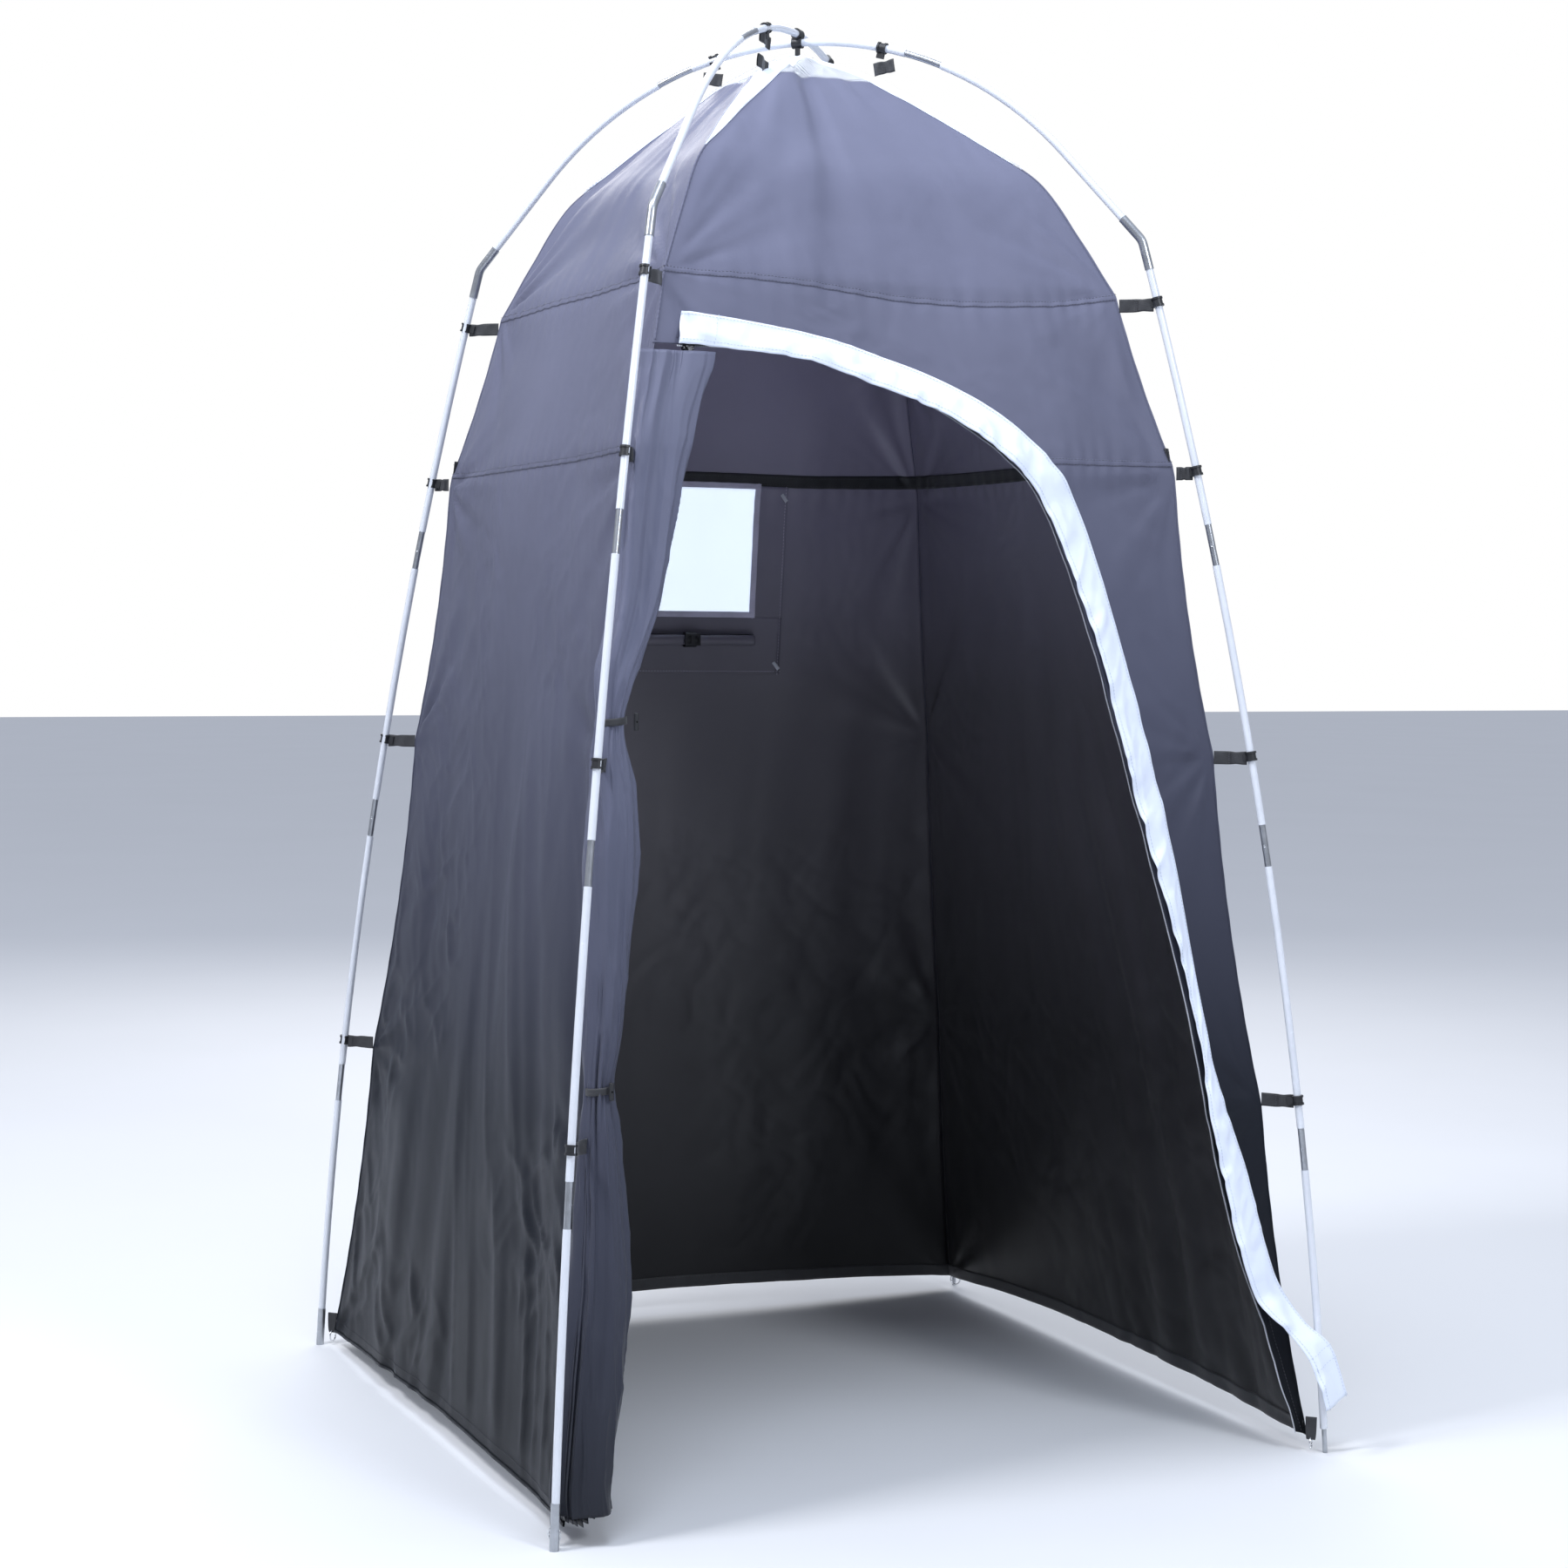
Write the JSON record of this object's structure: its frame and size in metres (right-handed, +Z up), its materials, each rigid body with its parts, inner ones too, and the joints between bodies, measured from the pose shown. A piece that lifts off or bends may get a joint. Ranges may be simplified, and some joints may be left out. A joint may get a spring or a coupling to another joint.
{
  "type": "privacy shower tent",
  "caption": "Tall square pop-over privacy tent: fabric cabin hooked inside two crossing bowed poles, with a wide zipped door tied open and a small rear window.",
  "frame": {"origin": "on the ground at the centre of the four pole feet", "axes": "+Z up, the door faces -Y, so -X is the left side seen from outside the door"},
  "size_m": [1.2103, 1.2128, 2.1351],
  "materials": {
    "white_rod": "smooth white resin tube",
    "bare_metal": "plain drawn tube",
    "ring_metal": "bright plated wire",
    "hook_plastic": "moulded black",
    "webbing": "woven polyester tape",
    "cabin_cloth": "charcoal coated polyester",
    "pale_cloth": "white coated polyester",
    "mesh": "white insect mesh",
    "binding_cloth": "grey binding",
    "clear_film": "translucent white film",
    "zip_coil": "nylon coil",
    "zip_metal": "black lacquered",
    "elastic": "elastic cord"
  },
  "bodies": {
    "tent": {"apex_hook": "hook_plastic", "back_roof": "cabin_cloth", "back_wall_lower": "cabin_cloth", "back_wall_upper": "cabin_cloth", "corner_webbing": "webbing", "crown_mesh": "mesh", "curtain_buckle": "hook_plastic", "curtain_tabs": "pale_cloth", "door_bundle": "cabin_cloth", "door_ties": "webbing", "elbows": "bare_metal", "foot_pins": "bare_metal", "foot_sleeves": "bare_metal", "front_roof": "cabin_cloth", "front_wall_lower": "cabin_cloth", "front_wall_upper": "cabin_cloth", "hem_tape": "webbing", "hook_straps": "webbing", "left_roof": "cabin_cloth", "left_wall_lower": "cabin_cloth", "left_wall_upper": "cabin_cloth", "leg_connectors_back_left": "bare_metal", "leg_connectors_back_right": "bare_metal", "leg_connectors_front_left": "bare_metal", "leg_connectors_front_right": "bare_metal", "leg_rods_back_left": "white_rod", "leg_rods_back_right": "white_rod", "leg_rods_front_left": "white_rod", "leg_rods_front_right": "white_rod", "pole_hooks_back_left": "hook_plastic", "pole_hooks_back_right": "hook_plastic", "pole_hooks_front_left": "hook_plastic", "pole_hooks_front_right": "hook_plastic", "ridge_bands": "pale_cloth", "right_roof": "cabin_cloth", "right_wall_lower": "cabin_cloth", "right_wall_upper": "cabin_cloth", "roof_connectors_a": "bare_metal", "roof_connectors_b": "bare_metal", "roof_rods_a": "white_rod", "roof_rods_b": "white_rod", "seam_tapes": "webbing", "shock_cord_a": "elastic", "shock_cord_b": "elastic", "storm_flap": "pale_cloth", "window_binding": "binding_cloth", "window_curtain": "cabin_cloth", "window_pane": "clear_film", "window_surround": "cabin_cloth", "zip_coil": "zip_coil", "zip_tape": "webbing"},
    "zip_slider": {"zip_slider": "zip_metal"},
    "zip_pull": {"zip_pull": "zip_metal"},
    "toggle_lower": {"toggle_lower": "hook_plastic"},
    "toggle_upper": {"toggle_upper": "hook_plastic"},
    "peg_ring_front_left": {"peg_ring_front_left": "ring_metal"},
    "peg_ring_front_right": {"peg_ring_front_right": "ring_metal"},
    "peg_ring_back_right": {"peg_ring_back_right": "ring_metal"},
    "peg_ring_back_left": {"peg_ring_back_left": "ring_metal"}
  },
  "joints": [
    {"name": "zip_slide", "type": "slide", "parent": "tent", "child": "zip_slider", "axis": [1, 0, 0], "range_m": [0, 0.14]},
    {"name": "zip_pull_swing", "type": "hinge", "parent": "zip_slider", "child": "zip_pull", "pos_m": [-0.335, -0.3933, 1.59644], "axis": [-1, 0, 0], "range_deg": [0, 90]},
    {"name": "toggle_lower_turn", "type": "hinge", "parent": "tent", "child": "toggle_lower", "pos_m": [-0.50115, -0.54256, 0.59], "axis": [0, -1, 0], "range_deg": [-60, 60]},
    {"name": "toggle_upper_turn", "type": "hinge", "parent": "tent", "child": "toggle_upper", "pos_m": [-0.4477, -0.48911, 1.08], "axis": [0, -1, 0], "range_deg": [-60, 60]},
    {"name": "peg_ring_front_left_swing", "type": "hinge", "parent": "tent", "child": "peg_ring_front_left", "pos_m": [-0.59256, -0.57983, 0.024], "axis": [-0.7071, 0.7071, 0], "range_deg": [-20, 20]},
    {"name": "peg_ring_front_right_swing", "type": "hinge", "parent": "tent", "child": "peg_ring_front_right", "pos_m": [0.57983, -0.59256, 0.024], "axis": [-0.7071, -0.7071, 0], "range_deg": [-20, 20]},
    {"name": "peg_ring_back_right_swing", "type": "hinge", "parent": "tent", "child": "peg_ring_back_right", "pos_m": [0.59256, 0.57983, 0.024], "axis": [0.7071, -0.7071, 0], "range_deg": [-20, 20]},
    {"name": "peg_ring_back_left_swing", "type": "hinge", "parent": "tent", "child": "peg_ring_back_left", "pos_m": [-0.57983, 0.59256, 0.024], "axis": [0.7071, 0.7071, 0], "range_deg": [-20, 20]}
  ]
}
